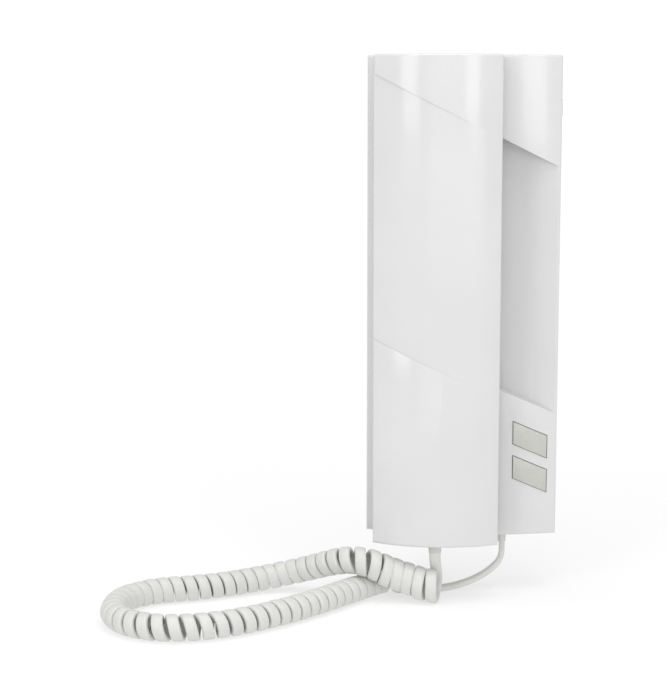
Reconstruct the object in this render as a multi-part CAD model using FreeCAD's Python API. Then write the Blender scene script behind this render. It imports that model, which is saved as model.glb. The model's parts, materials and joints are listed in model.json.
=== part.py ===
import FreeCAD, Part
import math
import os

# A slim wall phone for a door-entry system: a flat base that screws to the wall, a
# handset that lies in it, two push buttons, and a curly cord between handset and base.
# Millimetres.  X to the right, Z up, the front faces -Y.  The origin is on the wall face
# of the base, midway between the two wall screws.  "Depth" is a distance from the wall,
# so a face at depth d lies at y = -d.

os.makedirs("parts", exist_ok=True)
Vector = FreeCAD.Vector

# --- Overall sizes -------------------------------------------------------------------
base_width = 86.0
base_height = 215.0
base_side_depth = 9.7        # depth of the base along its two long sides
base_crown_depth = 17.0      # depth of the base at the middle of its arched front
handset_width = 55.4
handset_centre_x = -10.9
handset_height = 215.0
handset_edge_depth = 34.6    # depth of the handset's front at its long edges
handset_crown_depth = 42.0   # depth of the handset's front along its middle

# --- Walls, rounds and clearances ----------------------------------------------------
wall = 2.0
plate_thickness = 2.0
front_round = 1.2            # round on the front edges of base and handset
fit_gap = 0.3                # between pieces that only lie side by side
slide_gap = 0.25             # round each button, plunger and slider
contact_gap = 0.1            # between a moving piece and what it presses
seat_gap = 0.6               # between the handset's back and the deck it lies on
through = 50.0               # extra length of a cutter, so that it passes right through

# --- Slanted lines across the front ---------------------------------------------------
upper_line_drop = 27.7       # from the top of the base down to the upper line, at x = 0
upper_line_slope = -0.504
lower_line_rise = 74.3       # from the bottom of the base up to the lower line, at x = 0
lower_line_slope = -0.447
hollow_depth = 0.6           # how far the handset's middle is set back at its left edge
hollow_fade_x = 10.0         # where that set-back runs out to nothing

# --- Finger hollow in the base, between the slanted lines --------------------------------
finger_floor_depth = 6.5
finger_start_x = 8.0
finger_flat_x = 20.0
finger_end_x = 41.8
finger_mid_x = 32.0
finger_mid_depth = 8.0

# --- Deck under the handset, with pockets for its two ends --------------------------------
deck_depth = 17.4
deck_inset_left = 2.1        # the deck's side, in from the handset's side
deck_inset_right = 2.0
deck_inset_end = 3.5
ear_from_top = 33.5
mouth_from_bottom = 29.5
ear_boss_radius = 21.5
mouth_boss_radius = 18.0
ear_boss_depth = 11.0
mouth_boss_depth = 12.0
boss_side_gap = 2.0
boss_end_gap = 1.6

# --- Handset inside --------------------------------------------------------------------
parting_rise = 6.0           # from the handset's back to the joint between its two shells
speaker_radius = 18.8
speaker_rim = 4.0
speaker_magnet_radius = 10.0
speaker_magnet_length = 7.0
speaker_dish_inset = 3.0
speaker_dish_throat = 2.0
speaker_dish_floor = 1.5
gasket_thickness = 1.0
gasket_inner_radius = 15.0
capsule_radius = 4.85
capsule_length = 5.0
boot_wall = 2.1
boot_floor = 1.0
boot_collar_height = 5.0
boot_collar_wall = 1.5
mouth_slot_width = 6.0
mouth_slot_height = 1.6
sound_hole_count = 8
sound_ring_radius = 6.5
sound_hole_radius = 1.1
weight_width = 16.0
weight_length = 50.0
weight_thickness = 9.0
weight_chamfer = 0.8
handset_screw_from_top = 71.5
handset_screw_from_bottom = 63.5
handset_screw_seat = 3.0     # from the handset's back to the seat of the screw heads
handset_screw_length = 14.0

# --- Buttons ---------------------------------------------------------------------------
button_width = 15.2
button_height = 10.2
button_pitch = 15.6
button_right_inset = 4.5     # from the base's right side to the buttons' right side
button_rise = 43.7           # from the bottom of the base to the upper button's middle
button_slope = -0.45
button_proud = 0.5
button_travel = 1.0
button_lip = 0.8
cap_thickness = 1.8
skirt_thickness = 1.0
switch_size = 6.0
switch_height = 3.5
switch_stem_radius = 1.7

# --- Circuit boards and what is on them --------------------------------------------------
board_back_depth = 3.2
board_thickness = 1.6
main_board_right_inset = 3.0
main_board_left_inset = 7.0
main_board_from_bottom = 7.5
main_board_top_rise = 60.5
arm_right_x = -18.0
arm_top_rise = 129.5
terminal_left_x = -5.0
terminal_pitch = 5.0
terminal_count = 5
terminal_length = 8.0
terminal_height = 8.0
terminal_screw_radius = 1.6
terminal_screw_head = 1.2
terminal_screw_length = 3.5
terminal_shank_radius = 1.0
terminal_wire_length = 2.0   # how far the wire openings run in front of the block's end
terminal_wire_width = 2.4
terminal_wire_depth = 1.0    # from the board to the wire openings
terminal_wire_height = 2.4
terminal_head_sink = 1.5
ringer_board_width = 26.5
ringer_board_height = 26.0
ringer_board_from_top = 3.0
ringer_radius = 10.0
ringer_height = 4.8
ringer_hole_radius = 1.2
ringer_inset_x = 18.0

# --- Hook plunger --------------------------------------------------------------------------
hook_x = -28.0
hook_rise = 115.5            # from the bottom of the base
hook_head_radius = 3.5
hook_flange_radius = 5.0
hook_flange_thickness = 1.2
hook_travel = 4.0
hook_arm_length = 8.6
hook_arm_width = 4.0
spring_wire = 0.8
spring_radius = 2.9
spring_turns = 3
microswitch_length = 12.8
microswitch_width = 5.8
microswitch_button = 0.8
microswitch_button_radius = 1.0
hook_head_round = 0.8

# --- Volume slider on the right side ----------------------------------------------------------
slider_knob_length = 7.0
slider_travel = 2.2
slider_proud = 0.4
slider_from_top = 26.4       # from the top of the base to the knob's lower end
slider_thickness = 2.6
slider_depth = 6.6
slider_inner = 1.6
slider_ribs = 5
slider_groove = 0.5
slider_body_width = 4.0

# --- Screws and the wall fixing ---------------------------------------------------------------
wall_screw_spacing = 83.5
wall_screw_hole_radius = 2.25
cover_screw_x = -5.0
cover_screw_rises = (95.0, 128.0)
screw_radius = 1.5
screw_hole_radius = 1.6
screw_head_radius = 2.75
screw_head_height = 2.0
cover_screw_bite = 7.0
cross_reach = 0.6            # half length of a screw's cross recess, over its head's radius
cross_half_width = 0.14      # half width of the recess, over the same radius
post_radius = 4.0
cable_entry_width = 20.0
cable_entry_height = 14.0
cable_entry_centre_x = -5.0
cable_entry_rise = 80.5

# --- Cord -----------------------------------------------------------------------------------------
floor_drop = 26.0            # from the bottom of the base down to what the cord lies on
coil_radius = 5.75
route_corner_share = 0.45    # how much of the shorter run beside a corner its arc takes up
lead_radius = 1.6
grommet_flange_radius = 4.2
grommet_flange = 1.2
grommet_neck_radius = 3.2
handset_exit_depth = 33.0
base_exit_x = 18.9
base_exit_depth = 9.0

# Values that follow from the ones above.
half_width = base_width / 2
top = base_height / 2
bottom = -top
handset_left = handset_centre_x - handset_width / 2
handset_right = handset_centre_x + handset_width / 2
handset_back_depth = deck_depth + seat_gap
parting_depth = handset_back_depth + parting_rise
ear_z = top - ear_from_top
mouth_z = bottom + mouth_from_bottom
ear_pocket_radius = ear_boss_radius + boss_side_gap
mouth_pocket_radius = mouth_boss_radius + boss_side_gap
board_front_depth = board_back_depth + board_thickness
floor_z = bottom - floor_drop


def arc_radius(half_chord, rise):
    """Radius of an arc over a chord, from half the chord and the arc's rise."""
    return (half_chord ** 2 + rise ** 2) / (2 * rise)


base_arc_radius = arc_radius(half_width, base_crown_depth - base_side_depth)
handset_arc_radius = arc_radius(handset_width / 2, handset_crown_depth - handset_edge_depth)


def base_front(x, inset=0.0):
    """Depth of the base's arched front at x, or of the surface inset behind it."""
    radius = base_arc_radius - inset
    return base_crown_depth - base_arc_radius + math.sqrt(radius ** 2 - x ** 2)


def handset_front(x, inset=0.0):
    """Depth of the handset's arched front at x, or of the surface inset behind it."""
    radius = handset_arc_radius - inset
    side = x - handset_centre_x
    return handset_crown_depth - handset_arc_radius + math.sqrt(radius ** 2 - side ** 2)


def upper_line(x):
    return top - upper_line_drop + upper_line_slope * x


def lower_line(x):
    return bottom + lower_line_rise + lower_line_slope * x


# --- Small helpers: depth is measured from the wall towards the front ------------------------------
def box(x0, x1, depth0, depth1, z0, z1):
    return Part.makeBox(x1 - x0, depth1 - depth0, z1 - z0, Vector(x0, -depth1, z0))


def disc(x, z, depth0, depth1, radius):
    """A cylinder whose axis runs from the wall to the front."""
    return Part.makeCylinder(radius, depth1 - depth0, Vector(x, -depth0, z), Vector(0, -1, 0))


def ring(x, z, depth0, depth1, outer, inner):
    hole = disc(x, z, depth0 - through, depth1 + through, inner)
    return disc(x, z, depth0, depth1, outer).cut(hole)


def prism_up(edges, z0, z1):
    """A plan outline at z = 0, raised from z0 to z1."""
    face = Part.Face(Part.Wire(edges))
    solid = face.extrude(Vector(0, 0, z1 - z0))
    solid.translate(Vector(0, 0, z0))
    return solid


def prism_front(points, depth0, depth1):
    """An outline in X and Z, pushed from one depth to another."""
    corners = [Vector(x, -depth0, z) for x, z in points]
    face = Part.Face(Part.makePolygon(corners + corners[:1]))
    return face.extrude(Vector(0, depth0 - depth1, 0))


def line(start, end):
    return Part.LineSegment(start, end).toShape()


def arched_outline(left, right, back_depth, front, middle_x):
    """Flat back, straight sides and an arched front whose depth is front(x)."""
    back_left = Vector(left, -back_depth, 0)
    back_right = Vector(right, -back_depth, 0)
    front_left = Vector(left, -front(left), 0)
    front_right = Vector(right, -front(right), 0)
    crown = Vector(middle_x, -front(middle_x), 0)
    arc = Part.Arc(front_left, crown, front_right).toShape()
    return [line(back_left, front_left), arc, line(front_right, back_right),
            line(back_right, back_left)]


def round_front_edges(solid, depth_limit, radius):
    """Round every edge that lies wholly in front of a depth."""
    edges = [edge for edge in solid.Edges if edge.BoundBox.YMax < -depth_limit]
    return solid.makeFillet(radius, edges)


def slanted_band(margin, depth0, depth1):
    """The space between the two slanted lines, widened by a margin up and down."""
    left = -2 * base_width
    right = 2 * base_width
    points = [(left, lower_line(left) - margin), (right, lower_line(right) - margin),
              (right, upper_line(right) + margin), (left, upper_line(left) + margin)]
    return prism_front(points, depth0, depth1)


def save(name, solids):
    shape = solids[0] if len(solids) == 1 else Part.makeCompound(solids)
    shape.exportStep("parts/" + name + ".step")
    volume = sum(solid.Volume for solid in solids)
    print(name, len(solids), "solid(s)", round(volume, 1), "mm3, valid", shape.isValid())


# --- Buttons: a slanted outline shared by the caps and their openings ------------------------------
button_right_x = half_width - button_right_inset
button_x = button_right_x - button_width / 2
button_zs = [bottom + button_rise, bottom + button_rise - button_pitch]


def button_outline(centre_z, margin):
    """Upright sides and slanted top and bottom, widened by a margin all round."""
    half = button_width / 2 + margin
    tall = button_height / 2 + margin
    slant = button_slope * half
    return [(button_x - half, centre_z - tall - slant), (button_x + half, centre_z - tall + slant),
            (button_x + half, centre_z + tall + slant), (button_x - half, centre_z + tall - slant)]


def between_base_arcs(inset_back, inset_front):
    """The layer of space between two surfaces that follow the base's arched front."""
    def back(x):
        return base_front(x, inset_back)

    def front(x):
        return base_front(x, inset_front)
    reach = half_width - wall
    outer = prism_up(arched_outline(-reach, reach, 0, front, 0), bottom, top)
    inner = prism_up(arched_outline(-reach, reach, 0, back, 0), bottom, top)
    return outer.cut(inner)


# --- Base cover -------------------------------------------------------------------------------------
def finger_profile(grow):
    """Plan outline of the finger hollow; grow moves its floor back by a wall."""
    start = finger_start_x - grow
    floor = finger_floor_depth - grow
    end_depth = base_front(finger_end_x) - grow
    front = handset_back_depth + through
    points = [Vector(start, -front, 0), Vector(start, -floor, 0), Vector(finger_flat_x, -floor, 0),
              Vector(finger_end_x, -end_depth, 0), Vector(finger_end_x, -front, 0)]
    bend = Vector(finger_mid_x, -(finger_mid_depth - grow), 0)
    return [line(points[0], points[1]), line(points[1], points[2]),
            Part.Arc(points[2], bend, points[3]).toShape(),
            line(points[3], points[4]), line(points[4], points[0])]


def finger_hollow(grow):
    space = prism_up(finger_profile(grow), bottom, top)
    return space.common(slanted_band(grow, 0, handset_back_depth + 2 * through))


def deck_block(inset, depth):
    left = handset_left + deck_inset_left + inset
    right = handset_right - deck_inset_right - inset
    low = bottom + deck_inset_end + inset
    return box(left, right, wall, depth, low, -low)


def base_cover():
    outer = prism_up(arched_outline(-half_width, half_width, 0, base_front, 0), bottom, top)
    outer = round_front_edges(outer, wall, front_round)
    outer = outer.fuse(deck_block(0, deck_depth))
    reach = half_width - wall

    def inner_front(x):
        return base_front(x, wall)
    inner = prism_up(arched_outline(-reach, reach, -1, inner_front, 0), bottom + wall, top - wall)
    inner = inner.fuse(deck_block(wall, deck_depth - wall))
    pockets = [(ear_z, ear_pocket_radius, ear_boss_depth - boss_end_gap),
               (mouth_z, mouth_pocket_radius, mouth_boss_depth - boss_end_gap)]
    for z, radius, floor in pockets:
        inner = inner.cut(disc(handset_centre_x, z, floor - wall, through, radius + wall))
    inner = inner.cut(finger_hollow(wall))
    for rise in cover_screw_rises:
        inner = inner.cut(disc(cover_screw_x, bottom + rise, post_tip_depth, through, post_radius + wall))
    cover = outer.cut(inner)
    for z, radius, floor in pockets:
        cover = cover.cut(disc(handset_centre_x, z, floor, through, radius))
    cover = cover.cut(finger_hollow(0))
    for rise in cover_screw_rises:
        z = bottom + rise
        cover = cover.cut(disc(cover_screw_x, z, 0, through, screw_hole_radius))
        cover = cover.cut(disc(cover_screw_x, z, cover_seat_depth, through, screw_head_radius + fit_gap))
    for z in button_zs:
        cover = cover.cut(prism_front(button_outline(z, slide_gap), wall, through))
    cover = cover.cut(disc(hook_x, hook_z, wall + 1, through, hook_head_radius + slide_gap))
    cover = cover.cut(slider_slot())
    cover = cover.cut(grommet_hole(base_exit_x, base_exit_depth, bottom))
    for index in range(slot_count):
        x = half_width - ringer_inset_x + (index - (slot_count - 1) / 2) * slot_pitch
        cover = cover.cut(box(x - slot_width / 2, x + slot_width / 2, slot_depth0, slot_depth1,
                              top - wall - 1, top + 1))
    return cover


# Ringer slots through the top of the cover.
slot_count = 6
slot_pitch = 3.2
slot_width = 1.4
slot_depth0 = 3.6
slot_depth1 = 8.6

# Heights and depths that several pieces share.
hook_z = bottom + hook_rise
post_tip_depth = 11.0        # where the back plate's posts meet the cover's bosses
cover_seat_depth = post_tip_depth + wall
deck_inner_depth = deck_depth - wall
hook_flange_front = deck_inner_depth - hook_travel - contact_gap
slider_z0 = top - slider_from_top


def slider_slot():
    low = slider_z0 - slide_gap
    high = slider_z0 + slider_knob_length + slider_travel + slide_gap
    half = slider_thickness / 2 + slide_gap
    return box(half_width - wall - 1, half_width + 1, slider_depth - half, slider_depth + half, low, high)


def grommet_hole(x, depth, end_z):
    return Part.makeCylinder(grommet_neck_radius, 2 * wall + 2, Vector(x, -depth, end_z - wall - 1))


def plate_outline(inset):
    edge = half_width - wall - fit_gap - inset
    end = top - wall - fit_gap - inset
    return -edge, edge, -end, end


def back_plate():
    left, right, low, high = plate_outline(0)
    plate = box(left, right, 0, plate_thickness, low, high)
    for rise in cover_screw_rises:
        post = disc(cover_screw_x, bottom + rise, plate_thickness / 2, post_tip_depth, post_radius)
        plate = plate.fuse(post)
    for x, z in board_posts + ringer_posts:
        plate = plate.fuse(disc(x, z, plate_thickness / 2, board_back_depth, board_post_radius))
    for rise in cover_screw_rises:
        hole = disc(cover_screw_x, bottom + rise, post_tip_depth - screw_bite, through, screw_hole_radius)
        plate = plate.cut(hole)
    for x, z in board_posts + ringer_posts:
        plate = plate.cut(disc(x, z, board_back_depth - board_screw_bite, through, board_screw_hole))
    for sign in (-1, 1):
        plate = plate.cut(disc(0, sign * wall_screw_spacing / 2, -1, through, wall_screw_hole_radius))
    entry_z = bottom + cable_entry_rise
    return plate.cut(box(cable_entry_centre_x - cable_entry_width / 2,
                         cable_entry_centre_x + cable_entry_width / 2, -1, through,
                         entry_z - cable_entry_height / 2, entry_z + cable_entry_height / 2))


# Posts and screws that hold the two circuit boards.
board_post_radius = 2.6
board_screw_radius = 1.0
board_screw_hole = 1.1
board_screw_head = 1.9
board_screw_head_height = 1.2
board_screw_reach = 2.2
board_screw_bite = 2.6
screw_bite = 8.0
board_screw_inset = 3.2
main_left = -half_width + main_board_left_inset
main_right = half_width - main_board_right_inset
main_low = bottom + main_board_from_bottom
main_high = bottom + main_board_top_rise
arm_high = bottom + arm_top_rise
board_posts = [(main_left + board_screw_inset, main_low + board_screw_inset),
               (main_right - board_screw_inset, main_low + board_screw_inset),
               (main_left + board_screw_inset, arm_high - board_screw_inset)]
ringer_right = half_width - main_board_right_inset
ringer_left = ringer_right - ringer_board_width
ringer_high = top - ringer_board_from_top
ringer_low = ringer_high - ringer_board_height
ringer_posts = [(ringer_left + board_screw_inset, ringer_low + board_screw_inset),
                (ringer_right - board_screw_inset, ringer_high - board_screw_inset)]


def main_board():
    board = box(main_left, main_right, board_back_depth, board_front_depth, main_low, main_high)
    arm = box(main_left, arm_right_x, board_back_depth, board_front_depth, main_high, arm_high)
    board = board.fuse(arm).removeSplitter()
    for x, z in board_posts:
        board = board.cut(disc(x, z, 0, through, board_screw_hole))
    return board


def ringer_board():
    board = box(ringer_left, ringer_right, board_back_depth, board_front_depth, ringer_low, ringer_high)
    for x, z in ringer_posts:
        board = board.cut(disc(x, z, 0, through, board_screw_hole))
    return board


def screw(x, z, seat_depth, head_radius, head_height, shank_radius, shank_length):
    """A pan-head screw that enters towards the wall, with a cross recess in its head."""
    head = disc(x, z, seat_depth, seat_depth + head_height, head_radius)
    shank = disc(x, z, seat_depth - shank_length, seat_depth + head_height / 2, shank_radius)
    bolt = head.fuse(shank).removeSplitter()
    bar = head_radius * cross_reach
    thin = head_radius * cross_half_width
    front = seat_depth + head_height
    for wide, tall in ((bar, thin), (thin, bar)):
        bolt = bolt.cut(box(x - wide, x + wide, front - head_height / 2, front + 1, z - tall, z + tall))
    return bolt


# --- Buttons, their switches, and the hook plunger ----------------------------------------------------
def button_cap(z):
    """A cap that follows the cover's arch, with a skirt and a lip that keep it in its opening."""
    skirt_inset = wall + fit_gap + button_lip
    cap = between_base_arcs(skirt_inset, -button_proud)
    cap = cap.common(prism_front(button_outline(z, 0), wall, through))
    lip = between_base_arcs(skirt_inset, wall + fit_gap)
    cap = cap.fuse(lip.common(prism_front(button_outline(z, button_lip), wall, through)))
    hollow = between_base_arcs(base_side_depth, cap_thickness)
    cap = cap.cut(hollow.common(prism_front(button_outline(z, -skirt_thickness), 0, through)))
    stem_back = switch_tip_depth + button_travel + contact_gap
    stem_front = base_front(button_x, cap_thickness) + fit_gap
    cap = cap.fuse(disc(button_x, z, stem_back, stem_front, switch_stem_radius))
    return cap.removeSplitter()


switch_stem = 0.7
switch_tip_depth = board_front_depth + switch_height + switch_stem


def button_switch(z):
    half = switch_size / 2
    body = box(button_x - half, button_x + half, board_front_depth, board_front_depth + switch_height,
               z - half, z + half)
    return body.fuse(disc(button_x, z, board_front_depth, switch_tip_depth, switch_stem_radius))


def hook_plunger():
    head_front = handset_back_depth - contact_gap
    head = disc(hook_x, hook_z, hook_flange_front - hook_flange_thickness, head_front, hook_head_radius)
    round_edges = [edge for edge in head.Edges if edge.BoundBox.YMax < -(head_front - 1)]
    head = head.makeFillet(hook_head_round, round_edges[:1])
    flange = disc(hook_x, hook_z, hook_flange_front - hook_flange_thickness, hook_flange_front,
                  hook_flange_radius)
    arm = box(hook_x - hook_arm_width / 2, hook_x + hook_arm_width / 2,
              hook_flange_front - hook_flange_thickness, hook_flange_front,
              hook_z - hook_arm_length, hook_z)
    return head.fuse(flange).fuse(arm).removeSplitter()


microswitch_tip_depth = hook_flange_front - hook_flange_thickness - contact_gap


def hook_microswitch():
    centre_z = hook_z - hook_arm_length + hook_arm_width / 2
    high = centre_z + microswitch_width / 2 - 1
    half = microswitch_length / 2
    body = box(hook_x - half, hook_x + half, board_front_depth, microswitch_tip_depth - microswitch_button,
               high - microswitch_width, high)
    button_z = high - microswitch_width / 2
    return body.fuse(disc(hook_x, button_z, board_front_depth, microswitch_tip_depth,
                         microswitch_button_radius))


def plunger_spring():
    """A coil spring that stands on the board and pushes the plunger's flange."""
    length = hook_flange_front - hook_flange_thickness - board_front_depth - contact_gap
    pitch = (length - spring_wire) / spring_turns
    helix = Part.makeHelix(pitch, pitch * spring_turns, spring_radius)
    start = helix.Edges[0].Vertexes[0].Point
    circle = Part.Circle(start, Vector(0, 1, pitch / (2 * math.pi * spring_radius)), spring_wire / 2)
    coil = Part.Wire(helix).makePipeShell([Part.Wire(circle.toShape())], True, True)
    coil.rotate(Vector(0, 0, 0), Vector(1, 0, 0), 90)
    coil.translate(Vector(hook_x, -(board_front_depth + spring_wire / 2), hook_z))
    return coil


# --- Ringer, volume slider and line terminals -----------------------------------------------------------
def ringer():
    x = half_width - ringer_inset_x
    z = ringer_high - ringer_radius - 1
    body = disc(x, z, board_front_depth, board_front_depth + ringer_height, ringer_radius)
    return body.cut(disc(x, z, board_front_depth + ringer_height - 1, through, ringer_hole_radius))


def slider_knob():
    half = slider_thickness / 2
    knob = box(half_width - wall - slider_inner, half_width + slider_proud, slider_depth - half,
               slider_depth + half, slider_z0, slider_z0 + slider_knob_length)
    for index in range(slider_ribs):
        z = slider_z0 + slider_knob_length * (index + 1) / (slider_ribs + 1)
        knob = knob.cut(box(half_width, half_width + 1, 0, through, z - slider_groove / 2,
                           z + slider_groove / 2))
    return knob


def slider_switch():
    right = half_width - wall - slider_inner - contact_gap
    low = slider_z0 - 1
    high = slider_z0 + slider_knob_length + slider_travel + 1
    return box(right - slider_body_width, right, board_front_depth, slider_depth + 1, low, high)


def terminal_block():
    right = terminal_left_x + terminal_count * terminal_pitch
    high = main_high - 1
    block = box(terminal_left_x, right, board_front_depth, board_front_depth + terminal_height,
                high - terminal_length, high)
    for x, z in terminal_places():
        block = block.cut(disc(x, z, board_front_depth + 2, through, terminal_shank_radius + contact_gap))
        block = block.cut(disc(x, z, terminal_seat_depth, through, terminal_screw_radius + contact_gap))
        wire_z = high - terminal_wire_length
        wire_depth = board_front_depth + terminal_wire_depth
        block = block.cut(box(x - terminal_wire_width / 2, x + terminal_wire_width / 2, wire_depth,
                              wire_depth + terminal_wire_height, wire_z, high + 1))
    return block


terminal_seat_depth = board_front_depth + terminal_height - terminal_head_sink


def terminal_places():
    z = main_high - 1 - terminal_length / 2
    return [(terminal_left_x + (index + 0.5) * terminal_pitch, z) for index in range(terminal_count)]


# --- Handset ----------------------------------------------------------------------------------------------
def handset_solid(inset):
    """The handset's outer form, or the same form inset by a wall."""
    def front(x):
        return handset_front(x, inset)
    low = -handset_height / 2 + inset
    left = handset_left + inset
    right = handset_right - inset
    outline = arched_outline(left, right, handset_back_depth + inset, front, handset_centre_x)
    return prism_up(outline, low, -low)


def hollow_shift():
    """How far the arch moves sideways and back to make the slight set-back between the lines."""
    fade = math.asin((hollow_fade_x - handset_centre_x) / handset_arc_radius)
    edge = math.asin((handset_left - handset_centre_x) / handset_arc_radius)
    slide = hollow_depth / math.sin(fade - edge)
    return Vector(math.cos(fade) * slide, math.sin(fade) * slide, 0)


def handset_outer():
    body = round_front_edges(handset_solid(0), parting_depth, front_round)
    core = Part.makeCylinder(handset_arc_radius, handset_height + 2 * through,
                             Vector(handset_centre_x, handset_arc_radius - handset_crown_depth,
                                    -handset_height / 2 - through))
    core.translate(hollow_shift())
    left_part = box(handset_left - 1, hollow_fade_x, parting_depth, handset_crown_depth + 1,
                    -handset_height, handset_height)
    shaving = left_part.cut(core).common(slanted_band(0, parting_depth, handset_crown_depth + 1))
    return body.cut(shaving)


handset_screw_zs = [handset_height / 2 - handset_screw_from_top,
                    -handset_height / 2 + handset_screw_from_bottom]
handset_seat_depth = handset_back_depth + handset_screw_seat
handset_boss_radius = post_radius + 0.5


def handset_front_shell():
    shell = handset_outer().cut(handset_solid(wall))
    shell = shell.cut(box(handset_left - 1, handset_right + 1, 0, parting_depth,
                          -handset_height, handset_height))
    for z in handset_screw_zs:
        post = disc(handset_centre_x, z, parting_depth, handset_front(handset_centre_x) - wall / 2,
                    post_radius)
        hole = disc(handset_centre_x, z, parting_depth - 1, handset_seat_depth + handset_screw_length + 1,
                    screw_hole_radius)
        shell = shell.fuse(post).cut(hole)
    return shell.cut(grommet_hole(handset_centre_x, handset_exit_depth, -handset_height / 2))


def handset_back_shell():
    shell = handset_solid(0).cut(handset_solid(wall))
    shell = shell.common(box(handset_left - 1, handset_right + 1, 0, parting_depth,
                             -handset_height, handset_height))
    bosses = [(ear_z, ear_boss_radius, ear_boss_depth), (mouth_z, mouth_boss_radius, mouth_boss_depth)]
    for z, radius, depth in bosses:
        boss = disc(handset_centre_x, z, depth, handset_back_depth + wall / 2, radius)
        front_edges = [edge for edge in boss.Edges if edge.BoundBox.YMin > -(depth + wall / 4)]
        boss = boss.makeFillet(front_round, front_edges)
        space = disc(handset_centre_x, z, depth + wall, through, radius - wall)
        shell = shell.fuse(boss).cut(space)
    for index in range(sound_hole_count):
        angle = 2 * math.pi * index / sound_hole_count
        x = handset_centre_x + sound_ring_radius * math.cos(angle)
        z = ear_z + sound_ring_radius * math.sin(angle)
        shell = shell.cut(disc(x, z, 0, ear_boss_depth + wall + contact_gap, sound_hole_radius))
    shell = shell.cut(disc(handset_centre_x, ear_z, 0, ear_boss_depth + wall + contact_gap,
                           sound_hole_radius))
    half_slot = mouth_slot_width / 2
    shell = shell.cut(box(handset_centre_x - half_slot, handset_centre_x + half_slot, 0,
                          mouth_boss_depth + wall + contact_gap,
                          mouth_z - mouth_slot_height / 2, mouth_z + mouth_slot_height / 2))
    collar_back = mouth_boss_depth + wall
    collar_bore = boot_radius + contact_gap
    collar = ring(handset_centre_x, mouth_z, collar_back, collar_back + boot_collar_height,
                  collar_bore + boot_collar_wall, collar_bore)
    shell = shell.fuse(collar)
    for z in handset_screw_zs:
        boss = disc(handset_centre_x, z, handset_back_depth, parting_depth, handset_boss_radius)
        shell = shell.fuse(boss)
        shell = shell.cut(disc(handset_centre_x, z, 0, parting_depth + 1, screw_hole_radius))
        shell = shell.cut(disc(handset_centre_x, z, 0, handset_seat_depth, screw_head_radius + fit_gap))
    return shell


boot_radius = capsule_radius + boot_wall


def ear_speaker():
    back = ear_boss_depth + wall + gasket_thickness
    basket = disc(handset_centre_x, ear_z, back, back + speaker_rim, speaker_radius)
    magnet = disc(handset_centre_x, ear_z, back, back + speaker_rim + speaker_magnet_length,
                  speaker_magnet_radius)
    dish = Part.makeCone(speaker_radius - speaker_dish_inset,
                         speaker_magnet_radius - speaker_dish_throat, speaker_rim - speaker_dish_floor,
                         Vector(handset_centre_x, -back, ear_z), Vector(0, -1, 0))
    return basket.fuse(magnet).cut(dish)


def speaker_gasket():
    back = ear_boss_depth + wall
    return ring(handset_centre_x, ear_z, back, back + gasket_thickness, speaker_radius,
                gasket_inner_radius)


def microphone_boot():
    back = mouth_boss_depth + wall
    boot = disc(handset_centre_x, mouth_z, back, back + boot_floor + capsule_length + 1, boot_radius)
    boot = boot.cut(disc(handset_centre_x, mouth_z, back + boot_floor, through, capsule_radius))
    return boot.cut(disc(handset_centre_x, mouth_z, 0, back + boot_floor + 1, capsule_radius / 2))


def microphone_capsule():
    back = mouth_boss_depth + wall + boot_floor
    return disc(handset_centre_x, mouth_z, back, back + capsule_length, capsule_radius)


def balance_weight():
    half = weight_width / 2
    back = handset_back_depth + wall
    bar = box(handset_centre_x - half, handset_centre_x + half, back, back + weight_thickness,
              -weight_length / 2, weight_length / 2)
    return bar.makeChamfer(weight_chamfer, [edge for edge in bar.Edges if edge.Length > weight_width + 1])


# --- Cord ---------------------------------------------------------------------------------------------------
def rounded_route(points, label):
    """Straight runs joined by tangent arcs, each as large as its two runs allow."""
    edges = []
    radii = []
    start = points[0]
    for index in range(1, len(points) - 1):
        before = points[index] - points[index - 1]
        after = points[index + 1] - points[index]
        turn = before.getAngle(after)
        tangent = route_corner_share * min(before.Length, after.Length)
        radii.append(tangent / math.tan(turn / 2))
        into = points[index] - before.normalize() * tangent
        out = points[index] + after.normalize() * tangent
        middle_way = (into + out) * 0.5 - points[index]
        radius = radii[-1]
        reach = radius / math.cos(turn / 2) - radius
        middle = points[index] + middle_way.normalize() * reach
        edges.append(line(start, into))
        edges.append(Part.Arc(into, middle, out).toShape())
        start = out
    edges.append(line(start, points[-1]))
    print(label, "arc radii", [round(radius, 1) for radius in radii])
    return Part.Wire(edges)


def cord_tube(points, radius, label):
    path = rounded_route(points, label)
    circle = Part.Circle(points[0], points[1] - points[0], radius)
    tube = path.makePipeShell([Part.Wire(circle.toShape())], True, True)
    expected = math.pi * radius ** 2 * path.Length
    print(label, "length", round(path.Length, 1), "volume ratio", round(tube.Volume / expected, 4))
    return tube


def grommet(x, depth, end_z):
    """A flanged rubber sleeve through an end wall, with a short taper below it."""
    flange = Part.makeCylinder(grommet_flange_radius, grommet_flange,
                               Vector(x, -depth, end_z - grommet_flange))
    taper = Part.makeCone(grommet_neck_radius, grommet_tip_radius, grommet_taper,
                          Vector(x, -depth, end_z - grommet_flange), Vector(0, 0, -1))
    neck = Part.makeCylinder(grommet_neck_radius, wall, Vector(x, -depth, end_z))
    inside = Part.makeCylinder(grommet_flange_radius, grommet_flange, Vector(x, -depth, end_z + wall))
    body = flange.fuse(taper).fuse(neck).fuse(inside).removeSplitter()
    bore = Part.makeCylinder(lead_radius, through, Vector(x, -depth, end_z - through / 2))
    return body.cut(bore)


grommet_tip_radius = 2.4
grommet_taper = 3.0
grommet_drop = grommet_flange + grommet_taper

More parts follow.
